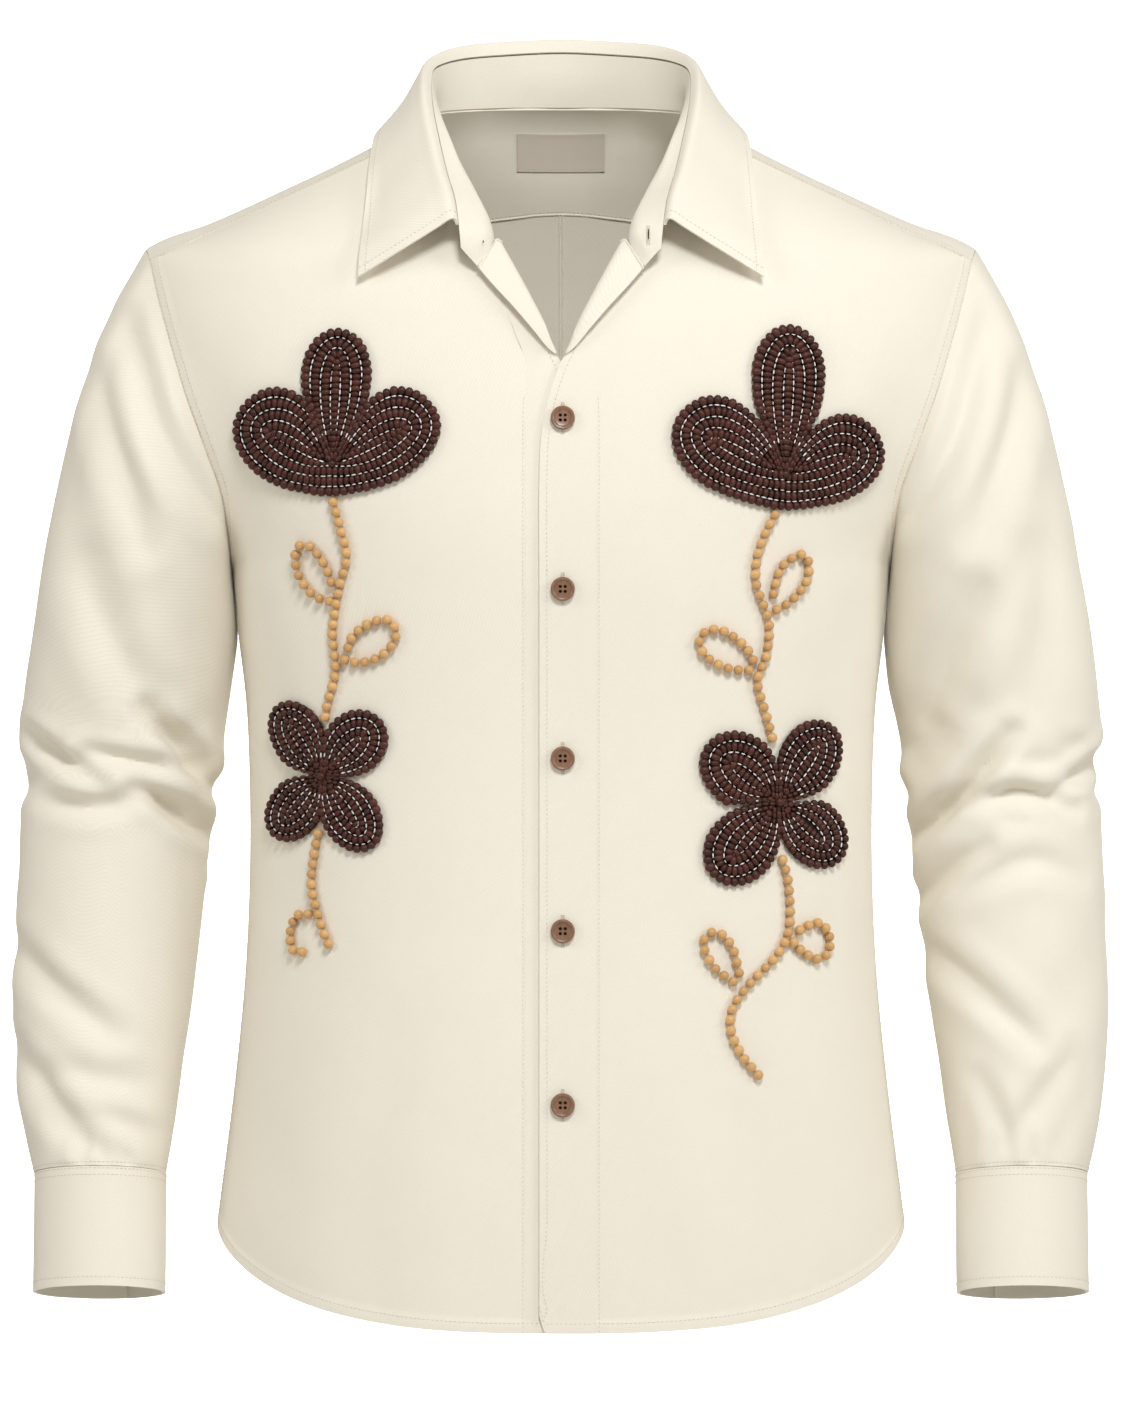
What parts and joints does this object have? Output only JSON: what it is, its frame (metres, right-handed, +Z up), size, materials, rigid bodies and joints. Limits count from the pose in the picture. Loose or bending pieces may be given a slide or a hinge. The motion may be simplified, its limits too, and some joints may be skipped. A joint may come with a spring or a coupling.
{
  "type": "embroidered shirt",
  "caption": "Long-sleeved cotton shirt with pointed collar and buttoned front, filled out as worn, with raised bead-worked flowers and looped vines on both fronts.",
  "frame": {"origin": "on the centre line between the shoulders, at the base of the neck", "axes": "+X towards the wearer's left, the front faces -Y, +Z up"},
  "size_m": [0.651, 0.2414, 0.7641],
  "materials": {
    "cream_twill": "fine cream cotton twill",
    "dark_bead": "dark brown satin beads",
    "tan_bead": "honey tan satin beads",
    "brown_button": "polished brown horn look",
    "label_tape": "taupe woven tape"
  },
  "bodies": {
    "root": {"back": "cream_twill", "bloom_left_petal_1": "dark_bead", "bloom_left_petal_2": "dark_bead", "bloom_left_petal_3": "dark_bead", "bloom_right_petal_1": "dark_bead", "bloom_right_petal_2": "dark_bead", "bloom_right_petal_3": "dark_bead", "button_1": "brown_button", "button_2": "brown_button", "button_3": "brown_button", "button_4": "brown_button", "button_5": "brown_button", "clover_left_petal_1": "dark_bead", "clover_left_petal_2": "dark_bead", "clover_left_petal_3": "dark_bead", "clover_left_petal_4": "dark_bead", "clover_right_petal_1": "dark_bead", "clover_right_petal_2": "dark_bead", "clover_right_petal_3": "dark_bead", "clover_right_petal_4": "dark_bead", "collar": "cream_twill", "collar_stand": "cream_twill", "cuff_button_left": "brown_button", "cuff_button_right": "brown_button", "cuff_left": "cream_twill", "cuff_right": "cream_twill", "curl_right": "tan_bead", "front_band_left": "cream_twill", "front_band_right": "cream_twill", "front_left": "cream_twill", "front_right": "cream_twill", "label": "label_tape", "leaf_left_left": "tan_bead", "leaf_left_right": "tan_bead", "loop_left_left": "tan_bead", "loop_left_right": "tan_bead", "loop_right_left": "tan_bead", "loop_right_right": "tan_bead", "sleeve_left": "cream_twill", "sleeve_right": "cream_twill", "stem_left_lower": "tan_bead", "stem_left_upper": "tan_bead", "stem_right_lower": "tan_bead", "stem_right_upper": "tan_bead", "yoke": "cream_twill"}
  },
  "joints": []
}
